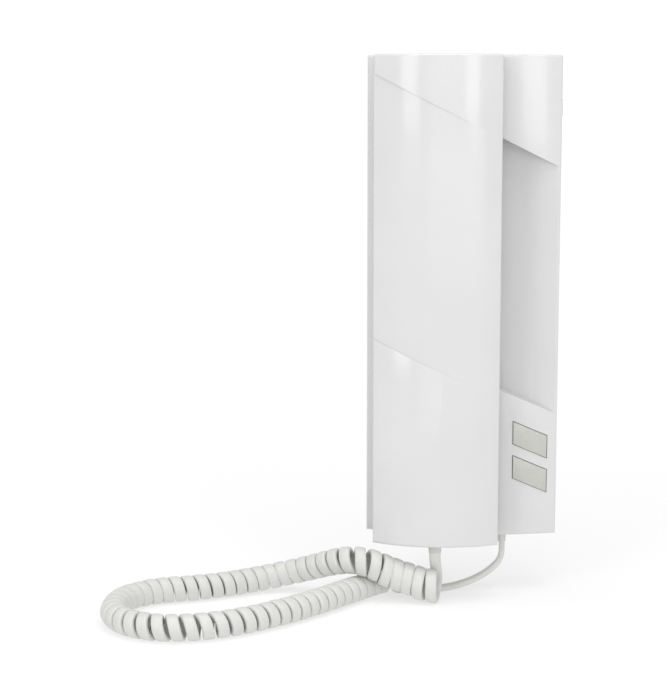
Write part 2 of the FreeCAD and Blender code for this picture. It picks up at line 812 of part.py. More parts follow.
# The curly part, from the handset's end round the loop to the base's end.  The third value
# is the height above the floor that the cord lies on.
coil_route = [(-8.0, -33.8, 6.4), (-16.5, -33.4, 8.4), (-24.0, -33.6, 10.4), (-31.5, -34.8, 12.8),
              (-38.0, -36.4, 16.7), (-46.5, -36.4, 18.7), (-55.0, -32.6, 16.8), (-64.5, -27.2, 12.8),
              (-75.5, -23.0, 9.0), (-87.0, -24.4, 6.6), (-98.5, -31.0, 5.8), (-109.5, -38.4, 5.8),
              (-121.5, -43.8, 5.8), (-134.0, -48.4, 5.8),
              (-145.2, -58.0, 5.8), (-149.4, -72.0, 5.8), (-147.0, -87.5, 5.8), (-137.0, -99.6, 5.8),
              (-121.5, -104.8, 5.8), (-104.5, -101.2, 5.8), (-88.5, -90.8, 5.8), (-74.0, -76.2, 5.8),
              (-61.4, -60.2, 5.8), (-51.6, -45.6, 5.8), (-45.2, -36.6, 5.8), (-41.4, -31.6, 5.8)]

# The plain part between the curly part and the base.
base_lead_route = [(-40.8, -30.8, 4.4), (-37.6, -27.0, 2.2), (-32.0, -23.8, 1.6), (-24.5, -22.0, 1.6),
                   (-15.5, -20.8, 1.6), (-6.0, -19.4, 1.7), (3.0, -17.4, 2.9), (10.6, -14.8, 5.4),
                   (16.4, -11.8, 9.8), (19.0, -9.6, 15.6), (base_exit_x, -base_exit_depth, 21.8)]


def on_floor(route):
    return [Vector(x, y, floor_z + height) for x, y, height in route]


def cord_handset_lead():
    """The straight plain lead from the handset's sleeve down to the top of the first turn."""
    high = -handset_height / 2 - grommet_drop
    low = floor_z + handset_lead_foot
    return Part.makeCylinder(lead_radius, high - low, Vector(handset_centre_x, -handset_exit_depth, low))


handset_lead_foot = 9.5


# --- Write every piece -----------------------------------------------------------------------------------------
save("base_cover", [base_cover()])
save("back_plate", [back_plate()])
save("main_board", [main_board()])
save("ringer_board", [ringer_board()])
save("line_terminals", [terminal_block()])
save("terminal_screws", [screw(x, z, terminal_seat_depth, terminal_screw_radius,
                               terminal_screw_head, terminal_shank_radius, terminal_screw_length)
                         for x, z in terminal_places()])
save("cover_screws", [screw(cover_screw_x, bottom + rise, cover_seat_depth, screw_head_radius,
                            screw_head_height, screw_radius,
                            cover_seat_depth - post_tip_depth + cover_screw_bite)
                      for rise in cover_screw_rises])
save("board_screws", [screw(x, z, board_front_depth, board_screw_head, board_screw_head_height,
                            board_screw_radius, board_thickness + board_screw_reach)
                      for x, z in board_posts + ringer_posts])
save("ringer", [ringer()])
save("volume_switch", [slider_switch()])
save("volume_slider", [slider_knob()])
save("hook_plunger", [hook_plunger()])
save("plunger_spring", [plunger_spring()])
save("hook_microswitch", [hook_microswitch()])
for name, z in zip(("upper", "lower"), button_zs):
    save(name + "_button", [button_cap(z)])
    save(name + "_button_switch", [button_switch(z)])
save("base_cord_grommet", [grommet(base_exit_x, base_exit_depth, bottom)])

save("handset_front_shell", [handset_front_shell()])
save("handset_back_shell", [handset_back_shell()])
save("ear_speaker", [ear_speaker()])
save("speaker_gasket", [speaker_gasket()])
save("microphone_boot", [microphone_boot()])
save("microphone_capsule", [microphone_capsule()])
save("balance_weight", [balance_weight()])
handset_screws = []
for z in handset_screw_zs:
    bolt = screw(handset_centre_x, z, -handset_seat_depth, screw_head_radius, screw_head_height,
                 screw_radius, handset_screw_length)
    bolt.rotate(Vector(handset_centre_x, 0, z), Vector(0, 0, 1), 180)
    handset_screws.append(bolt)
save("handset_screws", handset_screws)
save("handset_cord_grommet", [grommet(handset_centre_x, handset_exit_depth, -handset_height / 2)])

save("cord_handset_lead", [cord_handset_lead()])
save("cord_coil", [cord_tube(on_floor(coil_route), coil_radius, "curly part")])
save("cord_base_lead", [cord_tube(on_floor(base_lead_route), lead_radius, "base lead")])
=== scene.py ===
# %% [markdown]
# # A slim wall phone, dressed in Blender
# The engineering model gives every piece its size and place.  This lesson puts a camera,
# soft light, finishes and the fine soft pieces round it.  The first line that matters loads
# the model: each engineered piece arrives as a mesh whose object sits at the origin, so all
# places below are in metres in that one shared frame.  X runs to the right, Z up, the wall
# is at y = 0 and the front faces -Y.

# %% Load the engineering model
import json
import math

import bmesh
import bpy
import numpy as np
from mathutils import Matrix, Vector


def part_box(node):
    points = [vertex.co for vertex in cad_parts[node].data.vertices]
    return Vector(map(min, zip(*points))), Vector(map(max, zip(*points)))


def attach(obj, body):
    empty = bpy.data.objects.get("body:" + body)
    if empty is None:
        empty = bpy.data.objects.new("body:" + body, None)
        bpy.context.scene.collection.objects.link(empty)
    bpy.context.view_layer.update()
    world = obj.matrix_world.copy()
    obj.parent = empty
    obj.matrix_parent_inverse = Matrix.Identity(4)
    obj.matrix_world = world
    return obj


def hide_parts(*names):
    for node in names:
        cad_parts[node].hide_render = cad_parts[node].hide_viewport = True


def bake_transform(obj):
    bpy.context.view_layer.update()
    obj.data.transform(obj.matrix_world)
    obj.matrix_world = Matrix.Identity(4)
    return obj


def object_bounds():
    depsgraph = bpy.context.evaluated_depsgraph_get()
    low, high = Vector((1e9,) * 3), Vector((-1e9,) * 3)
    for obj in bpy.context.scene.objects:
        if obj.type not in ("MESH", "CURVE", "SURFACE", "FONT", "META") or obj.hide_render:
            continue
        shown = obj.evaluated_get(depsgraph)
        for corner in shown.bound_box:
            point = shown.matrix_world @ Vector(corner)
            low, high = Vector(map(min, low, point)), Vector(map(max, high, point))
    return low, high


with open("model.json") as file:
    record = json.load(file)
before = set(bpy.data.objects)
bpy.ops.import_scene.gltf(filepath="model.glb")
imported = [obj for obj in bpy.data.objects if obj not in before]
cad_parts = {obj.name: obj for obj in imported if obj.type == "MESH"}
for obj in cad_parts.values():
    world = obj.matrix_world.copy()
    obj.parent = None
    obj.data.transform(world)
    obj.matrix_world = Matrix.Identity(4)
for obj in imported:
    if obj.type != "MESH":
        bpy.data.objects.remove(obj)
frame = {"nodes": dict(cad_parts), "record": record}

bpy.context.view_layer.update()
cad_box = [list(corner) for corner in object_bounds()]
bpy.ops.object.select_all(action="DESELECT")
print("nodes", len(frame["nodes"]), "box", cad_box)

# %% [markdown]
# ## Camera
# A phone on a wall is looked at from a little above, through a long lens, so that its
# upright edges stay nearly parallel.  A camera can be turned by a Track To constraint that
# follows the phone's middle.  Here its tilt and its turn are given as two angles instead, so
# that the phone stands a little right of the middle and leaves room for the cord's loop.

# %% Camera
camera_data = bpy.data.cameras.new("studio_camera")
camera_data.sensor_width = 36.0
camera_data.lens = 93.28
camera_data.clip_start = 0.01
camera = bpy.data.objects.new("studio_camera", camera_data)
bpy.context.scene.collection.objects.link(camera)
camera.location = (0.00845, -0.8197, 0.0911)
tilt_down, turn_left = 0.141, 0.082
camera.rotation_euler = (math.pi / 2 - tilt_down, 0.0, turn_left)
bpy.context.scene.camera = camera
print("lens", camera_data.lens, "mm")

# %% [markdown]
# ## The cord's line
# The cord is one flat moulded lead: plain where it leaves the handset, wound into a springy
# coil for most of its length, and plain again up to the base.  A coil could be modelled
# with a Screw modifier and bent along a curve, which would squash its turns in the bends.
# Here its axis is a smooth NURBS line through a few listed points, and the winding is
# worked out turn by turn round that line.

# %% Routes of the coil's axis and of the plain lead, as x, y and height above the floor
floor_z = round(cad_box[0][2], 4)
coil_route = [(-0.0108, -0.0370, 0.0075), (-0.0148, -0.0366, 0.0077), (-0.0195, -0.0356, 0.0092),
              (-0.0250, -0.0348, 0.0109), (-0.0318, -0.0350, 0.0131), (-0.0380, -0.0364, 0.0167),
              (-0.0465, -0.0364, 0.0187), (-0.0550, -0.0326, 0.0168), (-0.0645, -0.0272, 0.0128),
              (-0.0755, -0.0230, 0.0090), (-0.0870, -0.0244, 0.0066), (-0.0985, -0.0310, 0.0058),
              (-0.1095, -0.0384, 0.0058), (-0.1215, -0.0438, 0.0058), (-0.1335, -0.0484, 0.0058),
              (-0.1438, -0.0580, 0.0058), (-0.1476, -0.0720, 0.0058), (-0.1455, -0.0875, 0.0058),
              (-0.1362, -0.0992, 0.0058), (-0.1215, -0.1048, 0.0058), (-0.1045, -0.1012, 0.0058),
              (-0.0885, -0.0908, 0.0058), (-0.0740, -0.0762, 0.0058), (-0.0614, -0.0602, 0.0058),
              (-0.0516, -0.0456, 0.0058), (-0.0440, -0.0345, 0.0056), (-0.0372, -0.0262, 0.0052),
              (-0.0330, -0.0222, 0.0049)]
lead_route = [(-0.0270, -0.0222, 0.0015), (-0.0215, -0.0218, 0.0015), (-0.0155, -0.0208, 0.0015),
              (-0.0060, -0.0190, 0.0020), (0.0030, -0.0166, 0.0040), (0.0108, -0.0138, 0.0072),
              (0.0168, -0.0112, 0.0116), (0.0190, -0.0096, 0.0156), (0.0189, -0.0090, 0.0218),
              (0.0189, -0.0090, 0.0250)]


def smooth_line(route):
    """The line that a NURBS spline draws through its control points."""
    curve = bpy.data.curves.new("route", "CURVE")
    curve.dimensions = "3D"
    spline = curve.splines.new("NURBS")
    spline.points.add(len(route) - 1)
    for knot, (x, y, height) in zip(spline.points, route):
        knot.co = (x, y, floor_z + height, 1.0)
    spline.order_u = 3
    spline.use_endpoint_u = True
    spline.resolution_u = 64
    holder = bpy.data.objects.new("route", curve)
    bpy.context.scene.collection.objects.link(holder)
    line = bpy.data.meshes.new_from_object(holder)
    points = np.array([vertex.co[:] for vertex in line.vertices])
    bpy.data.objects.remove(holder)
    return points


def run_of(points):
    """How far along the line each of its points lies."""
    steps = np.linalg.norm(np.diff(points, axis=0), axis=1)
    return np.concatenate(([0.0], np.cumsum(steps)))


def at(points, distances):
    """Points at the given distances along a line."""
    run = run_of(points)
    return np.column_stack([np.interp(distances, run, points[:, axis]) for axis in range(3)])


coil_axis = smooth_line(coil_route)
base_lead = smooth_line(lead_route)
axis_length = run_of(coil_axis)[-1]
print("coil axis", round(axis_length, 4), "m; plain lead", round(run_of(base_lead)[-1], 4), "m")

# %% [markdown]
# ## Winding the coil
# Real turns are never all alike.  They lie close together where the coil rests, open up
# over the hump and round the front of the loop, and the first few turns below the handset
# are wider than the rest.  The pitch and the radius are therefore two profiles along the
# axis, and every point of the winding sits at that radius, carried round the axis.

# %% The winding round the axis
jacket_width = 0.0050
jacket_thickness = 0.0027
rings_per_turn = 34

last_turn_share = 0.82
turn_unevenness = 0.00008

# Distance along the axis and the pitch there: a nearly flat first turn, then the hump, the
# straight run, and the wider turns round the front of the loop.
pitches = [(0, 0.0016), (0.0008, 0.0016), (0.0010, 0.0063), (0.0050, 0.0063), (0.0054, 0.0053),
           (0.020, 0.0055), (0.034, 0.0058), (0.045, 0.0058), (0.070, 0.0058), (0.085, 0.0056),
           (0.150, 0.0057), (0.185, 0.0055), (0.215, 0.0062), (0.245, 0.0061), (0.275, 0.0056),
           (0.330, 0.0053)]
radii = [(0, 0.0075), (0.005, 0.00735), (0.010, 0.0071), (0.022, 0.0070), (0.032, 0.0065),
         (0.042, 0.0061), (0.060, 0.00575), (axis_length - 0.02, 0.00575), (axis_length, 0.0047)]

random = np.random.default_rng(7)
stations = np.linspace(0.0, axis_length, 6000)
pitch = np.interp(stations, *zip(*pitches))
turns = np.concatenate(([0.0], np.cumsum(np.diff(stations) / pitch[1:])))
whole_turns = round(turns[-1]) - 1 + last_turn_share
turns *= whole_turns / turns[-1]
outer = np.interp(stations, *zip(*radii))
knots = np.arange(int(whole_turns) + 2)
unevenness = -np.abs(np.interp(turns, knots, random.normal(0.0, turn_unevenness, len(knots))))

marks = np.linspace(0.0, whole_turns, int(whole_turns * rings_per_turn))
where = np.interp(marks, turns, stations)
centre = at(coil_axis, where)
forward = np.gradient(centre, axis=0)
reach = 20
average = np.ones(2 * reach + 1) / (2 * reach + 1)
forward = np.column_stack([np.convolve(np.pad(forward[:, axis], reach, mode="edge"), average, mode="valid")
                           for axis in range(3)])
forward /= np.linalg.norm(forward, axis=1)[:, None]
side = np.cross(forward, (0.0, 0.0, 1.0))
side /= np.linalg.norm(side, axis=1)[:, None]
down = np.cross(forward, side)
radius = (np.interp(where, stations, outer + unevenness) - jacket_thickness / 2)[:, None]
angle = (marks * 2 * math.pi)[:, None]
winding = centre + radius * (np.cos(angle) * side + np.sin(angle) * down)
print("turns", round(whole_turns, 2))

# %% [markdown]
# ## One cord from handset to base
# The plain leads flow into the first and last turns.  Each join is a short cubic that
# leaves one piece of line and meets the next without a kink.  The width of the flat jacket
# lies along the coil's axis in the turns, across the picture in the handset's lead, and
# towards the wall in the base's lead, so one direction is faded into the next.

# %% Join the three parts into one centreline
hidden_lead = 0.0032
straight_lead = 0.0011


def lower_end(node):
    """The middle of an engineered piece's lower end, to a tenth of a millimetre."""
    low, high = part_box(node)
    return Vector((round((low[0] + high[0]) / 2, 4), round((low[1] + high[1]) / 2, 4), round(low[2], 4)))


def join(start, start_way, end, end_way, pull, count):
    """A cubic from one point and direction to another."""
    t = np.linspace(0.0, 1.0, count)[1:-1, None]
    a = start + np.array(start_way) * pull
    b = end - np.array(end_way) * pull
    return (1 - t) ** 3 * start + 3 * (1 - t) ** 2 * t * a + 3 * (1 - t) * t ** 2 * b + t ** 3 * end


def way(points, first, second):
    """The direction from one point of a line to another."""
    step = points[second] - points[first]
    return step / np.linalg.norm(step)


handset_exit = lower_end("handset_cord_grommet")
base_exit = lower_end("base_cord_grommet")
lead_top = np.array(handset_exit) + (0.0, 0.0, hidden_lead)
lead_foot = np.array(handset_exit) - (0.0, 0.0, straight_lead)
handset_lead = np.linspace(lead_top, lead_foot, 14)
into_coil = join(lead_foot, (0, 0, -1), winding[0], way(winding, 0, 1), 0.0050, 30)
out_of_coil = join(winding[-1], way(winding, -2, -1), base_lead[0], way(base_lead, 0, 1), 0.0040, 22)
plain = at(base_lead, np.linspace(0, run_of(base_lead)[-1], 130))
path = np.concatenate((handset_lead, into_coil, winding, out_of_coil, plain))
coil_start = len(handset_lead) + len(into_coil)
coil_end = coil_start + len(winding)

# %% [markdown]
# ## The flat jacket
# In section the jacket is a flat bar with well rounded edges.  A curve's bevel object could
# sweep that section, but Blender would choose how it twists, and the flat side has to lie on
# the coil's outside.  The sweep is therefore a grid of points: one ring of section points at
# each place on the centreline, set out along the two directions worked out there.

# %% Sweep the flat jacket along the centreline
across = np.zeros_like(path)
across[:coil_start] = (-1.0, 0.0, 0.0)
across[coil_start:coil_end] = forward
across[coil_end:] = (0.0, 1.0, 0.0)
fade = 26
for middle in (coil_start, coil_end):
    low, high = middle - fade, middle + fade
    before, after = across[low].copy(), across[high].copy()
    for index in range(low, high + 1):
        t = (index - low) / (high - low)
        t = t * t * (3 - 2 * t)
        across[index] = before * (1 - t) + after * t
ahead = np.gradient(path, axis=0)
ahead /= np.linalg.norm(ahead, axis=1)[:, None]
across -= (across * ahead).sum(axis=1)[:, None] * ahead
across /= np.linalg.norm(across, axis=1)[:, None]
outward = np.cross(ahead, across)

section_points = 18
theta = np.arange(section_points) * 2 * math.pi / section_points
squareness = 0.56
flat_x = np.sign(np.cos(theta)) * np.abs(np.cos(theta)) ** squareness * jacket_width / 2
flat_y = np.sign(np.sin(theta)) * np.abs(np.sin(theta)) ** squareness * jacket_thickness / 2
rings = (path[:, None, :] + across[:, None, :] * flat_x[None, :, None]
         + outward[:, None, :] * flat_y[None, :, None])
vertices = rings.reshape(-1, 3)
faces = []
for ring in range(len(path) - 1):
    for corner in range(section_points):
        beside = (corner + 1) % section_points
        start = ring * section_points
        faces.append((start + corner, start + beside, start + section_points + beside,
                      start + section_points + corner))
last = (len(path) - 1) * section_points
faces.append(tuple(range(section_points))[::-1])
faces.append(tuple(range(last, last + section_points)))
cord_mesh = bpy.data.meshes.new("curly_cord")
cord_mesh.from_pydata([tuple(vertex) for vertex in vertices], [], faces)
cord = bpy.data.objects.new("curly_cord", cord_mesh)
bpy.context.scene.collection.objects.link(cord)
skin = bmesh.new()
skin.from_mesh(cord_mesh)
bmesh.ops.recalc_face_normals(skin, faces=skin.faces)
skin.to_mesh(cord_mesh)
skin.free()
for polygon in cord_mesh.polygons:
    polygon.use_smooth = len(polygon.vertices) == 4

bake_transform(cord)
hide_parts("cord_handset_lead", "cord_coil", "cord_base_lead")
print("cord faces", len(cord_mesh.polygons))

# %% [markdown]
# ## Floor and light
# A pale table top and two tall soft boxes.  Glossy white plastic shows its form only in
# what it mirrors, so the boxes stand upright at each side of the camera: each one draws
# one bright upright band down the arched front.  A weak, wide fill from the front reaches
# into the finger hollow, which the handset would otherwise keep dark.

# %% Sky and floor
backdrop_light = 1.05
room_light = 0.67
floor_radius = 4.0
world = bpy.data.worlds.new("studio")
bpy.context.scene.world = world
world.use_nodes = True
backdrop = world.node_tree.nodes["Background"]
backdrop.inputs["Color"].default_value = (1.0, 1.0, 1.0, 1.0)
backdrop.inputs["Strength"].default_value = backdrop_light
room = world.node_tree.nodes.new("ShaderNodeBackground")
room.inputs["Color"].default_value = (1.0, 1.0, 1.0, 1.0)
room.inputs["Strength"].default_value = room_light
rays = world.node_tree.nodes.new("ShaderNodeLightPath")
choice = world.node_tree.nodes.new("ShaderNodeMixShader")
link = world.node_tree.links.new
link(rays.outputs["Is Camera Ray"], choice.inputs["Fac"])
link(room.outputs["Background"], choice.inputs[1])
link(backdrop.outputs["Background"], choice.inputs[2])
link(choice.outputs["Shader"], world.node_tree.nodes["World Output"].inputs["Surface"])
bpy.context.scene.view_settings.view_transform = "Standard"

bpy.ops.mesh.primitive_circle_add(vertices=96, radius=floor_radius, fill_type="NGON",
                                  location=(0, 0, floor_z))
floor = bpy.context.object
floor.name = "table_top"
bpy.ops.object.transform_apply(location=True)
print("room light", room_light)

# %% [markdown]
# ## Soft boxes
# Each lamp is a glowing rectangle, placed and then turned to face a point.  A Track To
# constraint would do the same, but to_track_quat gives the turn directly and leaves nothing
# live on the lamp.

# %% Soft boxes


def soft_box(name, place, target, wide, tall, power):
    """A rectangular lamp that faces a point."""
    lamp = bpy.data.lights.new(name, "AREA")
    lamp.shape = "RECTANGLE"
    lamp.size = wide
    lamp.size_y = tall
    lamp.energy = power
    holder = bpy.data.objects.new(name, lamp)
    bpy.context.scene.collection.objects.link(holder)
    holder.location = place
    holder.rotation_euler = (Vector(target) - Vector(place)).to_track_quat("-Z", "Y").to_euler()
    print(name, wide, "by", tall, "m", power, "W")


soft_box("left_strip", (-0.53, -1.0, 0.52), (0, 0, 0.35), 0.31, 0.94, 2.3)
soft_box("right_strip", (0.58, -1.0, 0.52), (0, 0, 0.35), 0.26, 0.94, 1.5)
soft_box("top_light", (0.0, -0.35, 1.4), (0, -0.1, 0), 1.2, 1.0, 9.5)
soft_box("front_fill", (0.30, -1.30, 0.15), (0, 0, 0), 1.2, 1.2, 2.6)

# %% [markdown]
# ## Shader maths as plain expressions
# A node tree is easier to read as a formula.  A Signal wraps one output socket, and Python's
# own + - * / and ** on it add the Math nodes.  A Finish holds one material: node() adds any
# other node from its type, its settings and its sockets, and set() fills the shader's sockets.

# %% A small shader kit


class Signal:
    """One output socket that plain arithmetic works on."""

    def __init__(self, finish, socket):
        self.finish = finish
        self.socket = socket

    def maths(self, operation, first, second):
        return self.finish.node("ShaderNodeMath", {"operation": operation}, {0: first, 1: second})

    def __add__(self, other):
        return self.maths("ADD", self, other)

    def __radd__(self, other):
        return self.maths("ADD", other, self)

    def __sub__(self, other):
        return self.maths("SUBTRACT", self, other)

    def __rsub__(self, other):
        return self.maths("SUBTRACT", other, self)

    def __mul__(self, other):
        return self.maths("MULTIPLY", self, other)

    def __rmul__(self, other):
        return self.maths("MULTIPLY", other, self)

    def __truediv__(self, other):
        return self.maths("DIVIDE", self, other)

    def __pow__(self, other):
        return self.maths("POWER", self, other)


class Finish:
    """A material and the calls that build its nodes."""

    def __init__(self, name):
        self.material = bpy.data.materials.new(name)
        self.material.use_nodes = True
        self.tree = self.material.node_tree
        self.shader = self.tree.nodes["Principled BSDF"]
        self.place = self.node("ShaderNodeTexCoord", {}, {}, "Object")

    def feed(self, socket, value):
        if isinstance(value, Signal):
            self.tree.links.new(value.socket, socket)
        elif socket.type == "RGBA" and len(value) == 3:
            socket.default_value = (*value, 1.0)
        else:
            socket.default_value = value

    def node(self, kind, settings, sockets, output=0):
        node = self.tree.nodes.new(kind)
        for name, value in settings.items():
            if name == "stops":
                self.stops(node.color_ramp, value)
            else:
                setattr(node, name, value)
        for name, value in sockets.items():
            self.feed(node.inputs[name], value)
        return Signal(self, node.outputs[output])

    def stops(self, ramp, stops):
        while len(ramp.elements) < len(stops):
            ramp.elements.new(0.5)
        for element, (position, level) in zip(ramp.elements, stops):
            element.position = position
            element.color = (level, level, level, 1.0)

    def stretched(self, scale):
        """The piece's own coordinates, scaled along each axis."""
        return self.node("ShaderNodeMapping", {}, {"Vector": self.place, "Scale": scale})

    def noise(self, size, detail=3.0, roughness=0.5, place=None):
        """Cloudy noise whose features are about the given size in metres."""
        return self.node("ShaderNodeTexNoise", {}, {"Vector": place or self.place, "Scale": 1 / size,
                                                    "Detail": detail, "Roughness": roughness})

    def cells(self, size, place=None, feature="F1"):
        return self.node("ShaderNodeTexVoronoi", {"feature": feature},
                         {"Vector": place or self.place, "Scale": 1 / size}, "Distance")

    def ramp(self, factor, stops):
        return self.node("ShaderNodeValToRGB", {"stops": stops}, {"Fac": factor})

    def mix(self, factor, first, second):
        return self.node("ShaderNodeMix", {"data_type": "RGBA"},
                         {0: factor, 6: first, 7: second}, 2)

    def bump(self, height, distance, strength=1.0, under=None):
        sockets = {"Height": height, "Distance": distance, "Strength": strength}
        if under:
            sockets["Normal"] = under
        return self.node("ShaderNodeBump", {}, sockets)

    def set(self, **sockets):
        for name, value in sockets.items():
            self.feed(self.shader.inputs[name.replace("_", " ")], value)
        return self.material


# %% [markdown]
# ## Gloss white shell
# The covers are moulded in gloss ABS.  Up close such a skin is not flat: it has a faint
# orange peel from the mould, hairline scuffs from hands and cloths, and slightly duller
# patches where fingers hold it.  All three are small, and all three show only in reflections.

# %% Gloss moulded ABS


def tint(colour, amount):
    return tuple(part * amount for part in colour)


def gloss_abs(name, colour):
    finish = Finish(name)
    cloud = finish.noise(0.030, 2.0)
    speck = finish.noise(0.0011, 2.0, 0.6)
    wiped = finish.noise(0.010, 4.0, 0.65)
    scuff = finish.noise(0.00035, 2.0, 0.7, finish.stretched((1.0, 1.0, 0.05)))
    peel = finish.noise(0.0024, 1.0)
    shade = finish.ramp(cloud * 0.8 + speck * 0.2, [(0.35, 0.0), (0.65, 1.0)])
    normal = finish.bump(scuff, 0.000004, 0.5, finish.bump(peel, 0.000016, 0.6))
    return finish.set(Base_Color=finish.mix(shade, tint(colour, 0.985), tint(colour, 1.012)),
                      Roughness=0.11 + wiped * 0.09 + scuff * 0.04, Normal=normal,
                      IOR=1.53, Coat_Weight=0.30, Coat_Roughness=0.05)

# %% [markdown]
# ## Satin mouldings
# The plate at the back, the plungers and the rubber parts come from spark-eroded moulds,
# which leave an even, fine, dull grain.  Noise would give clouds; Voronoi cells give the
# separate tiny pits of such a surface.

# %% Satin moulded plastic and rubber


def satin_mould(name, colour, roughness, grain=0.00030, depth=0.00002):
    """Plastic or rubber with an even fine grain and slight mottling."""
    finish = Finish(name)
    cloud = finish.noise(0.012, 3.0)
    pits = finish.cells(grain)
    wear = finish.noise(0.0030, 4.0, 0.6)
    shade = finish.ramp(cloud * 0.7 + pits * 0.3, [(0.25, 0.0), (0.75, 1.0)])
    return finish.set(Base_Color=finish.mix(shade, tint(colour, 0.95), tint(colour, 1.03)),
                      Roughness=roughness - 0.06 + wear * 0.12,
                      Normal=finish.bump(pits, depth, 0.5))

# %% [markdown]
# ## Metals and silver lacquer
# Screws, springs, the capsules' cans and the buttons' silver coat all show fine lines the way
# they were drawn, turned or brushed.  The same noise, squeezed to long threads along one
# axis, gives all of them; only its direction, colour and dullness change.

# %% Metal with fine lines


def drawn_metal(name, colour, roughness, along, grain=0.00012, depth=0.000006, metallic=1.0):
    """Metal with fine lines along one axis, and a little dulling from handling."""
    finish = Finish(name)
    stretch = tuple(0.03 if axis == along else 1.0 for axis in "xyz")
    lines = finish.noise(grain, 3.0, 0.7, finish.stretched(stretch))
    dull = finish.noise(0.0045, 4.0, 0.6)
    shade = finish.ramp(lines * 0.7 + dull * 0.3, [(0.3, 0.0), (0.7, 1.0)])
    return finish.set(Base_Color=finish.mix(shade, tint(colour, 0.80), tint(colour, 1.08)),
                      Metallic=metallic, Roughness=roughness - 0.08 + lines * 0.1 + dull * 0.1,
                      Normal=finish.bump(lines, depth, 0.6))

# %% [markdown]
# ## Circuit boards
# A board is copper lanes under green lacquer, so the lanes stand up a little and look
# lighter.  Drawing every lane would be slow work for pieces that hardly show.  A brick
# pattern's mortar gives a net of lanes instead.

# %% Lacquered circuit board


def solder_mask(name, colour):
    """A lacquered circuit board: copper tracks show as lighter raised lanes under the lacquer."""
    finish = Finish(name)
    lanes = finish.node("ShaderNodeTexBrick", {"offset": 0.5},
                        {"Vector": finish.node("ShaderNodeMapping", {}, {
                            "Vector": finish.place, "Rotation": (math.pi / 2, 0, 0)}),
                         "Scale": 160.0, "Mortar Size": 0.05, "Color1": (0, 0, 0), "Color2": (0, 0, 0),
                         "Mortar": (1, 1, 1)}, "Fac")
    cloud = finish.noise(0.008, 3.0)
    shade = lanes * 0.8 + cloud * 0.2
    return finish.set(Base_Color=finish.mix(shade, tint(colour, 0.8), tint(colour, 1.9)),
                      Roughness=0.32 + cloud * 0.15, Normal=finish.bump(lanes, 0.00004, 0.6))

# %% [markdown]
# ## Foam
# The ring round the ear capsule is open black foam.  Two sizes of Voronoi cells make its
# pores; their colour holds painted shade in the pore middles and painted highlights on the walls between
# them.

# %% Open foam


def foam_rubber(name, colour):
    """Foam with painted shade in its pores and painted highlights on the walls between them."""
    finish = Finish(name)
    pores = finish.cells(0.0006)
    fine = finish.cells(0.00025)
    # The pore pattern sets the colour: painted shade in the pore middles, painted highlight on the pore
    # walls.
    skin = finish.ramp(pores, [(0.1, 0.0), (0.6, 1.0)])
    return finish.set(Base_Color=finish.mix(skin, tint(colour, 0.5), tint(colour, 1.6)),
                      Roughness=0.85 + fine * 0.1, Normal=finish.bump(skin + fine * 0.4, 0.00012, 0.8))

# %% [markdown]
# ## The cord's jacket
# The cord and its sleeves are soft PVC, slightly waxy, with faint clouds and the marks of
# handling.  It could be given a clear coat, but a coat makes it look wet; a middling
# roughness that varies is enough.

# %% Soft PVC


def soft_pvc(name, colour, roughness):
    """Extruded PVC, slightly waxy, with faint clouds and handling marks."""
    finish = Finish(name)
    cloud = finish.noise(0.006, 3.0, 0.6)
    grime = finish.noise(0.0016, 4.0, 0.7)
    fine = finish.noise(0.0005, 2.0, 0.6)
    shade = finish.ramp(cloud * 0.65 + grime * 0.35, [(0.30, 0.0), (0.66, 1.0)])
    return finish.set(Base_Color=finish.mix(shade, tint(colour, 0.94), tint(colour, 1.02)),
                      Roughness=roughness - 0.05 + grime * 0.14,
                      Normal=finish.bump(fine, 0.00002, 0.5, finish.bump(grime, 0.00005, 0.5)))

# %% [markdown]
# ## A finish for every piece
# Each piece names a material slot, so one table from slot to finish dresses them all.  The
# alternative, a material per piece, would soon hold many near copies of the same plastic.

# %% Give each slot its finish
white = (0.655, 0.655, 0.655)
finishes = {
    "white_shell": gloss_abs("gloss_white_shell", white),
    "white_plastic": satin_mould("satin_white_mould", (0.74, 0.75, 0.74), 0.45),
    "button_metal": drawn_metal("brushed_silver_lacquer", (0.56, 0.57, 0.53), 0.40, "x", metallic=0.55),
    "board_green": solder_mask("green_solder_mask", (0.03, 0.16, 0.07)),
    "black_plastic": satin_mould("black_mould", (0.03, 0.03, 0.033), 0.5),
    "terminal_green": satin_mould("green_mould", (0.06, 0.26, 0.11), 0.45),
    "screw_steel": drawn_metal("zinc_plate", (0.62, 0.62, 0.63), 0.34, "y"),
    "spring_steel": drawn_metal("spring_wire", (0.52, 0.52, 0.54), 0.30, "y"),
    "speaker_metal": drawn_metal("pressed_steel", (0.48, 0.48, 0.49), 0.38, "x"),
    "foam": foam_rubber("black_foam", (0.035, 0.035, 0.037)),
    "grey_rubber": satin_mould("grey_rubber", (0.10, 0.10, 0.11), 0.62),
    "weight_steel": drawn_metal("rolled_bar", (0.30, 0.30, 0.31), 0.50, "z", grain=0.0003, depth=0.00002),
    "cord_sleeve": soft_pvc("soft_sleeve", (0.62, 0.625, 0.60), 0.42),
    "cord_jacket": soft_pvc("cord_jacket", (0.655, 0.655, 0.63), 0.42),
    "capsule_metal": drawn_metal("capsule_can", (0.66, 0.66, 0.67), 0.28, "y"),
}
slots = {part["node"]: part["material_slot"] for part in frame["record"]["subparts"]}
for name, slot in slots.items():
    frame["nodes"][name].data.materials.clear()
    frame["nodes"][name].data.materials.append(finishes[slot])
cord.data.materials.append(finishes["cord_jacket"])
print("finishes", len(finishes))
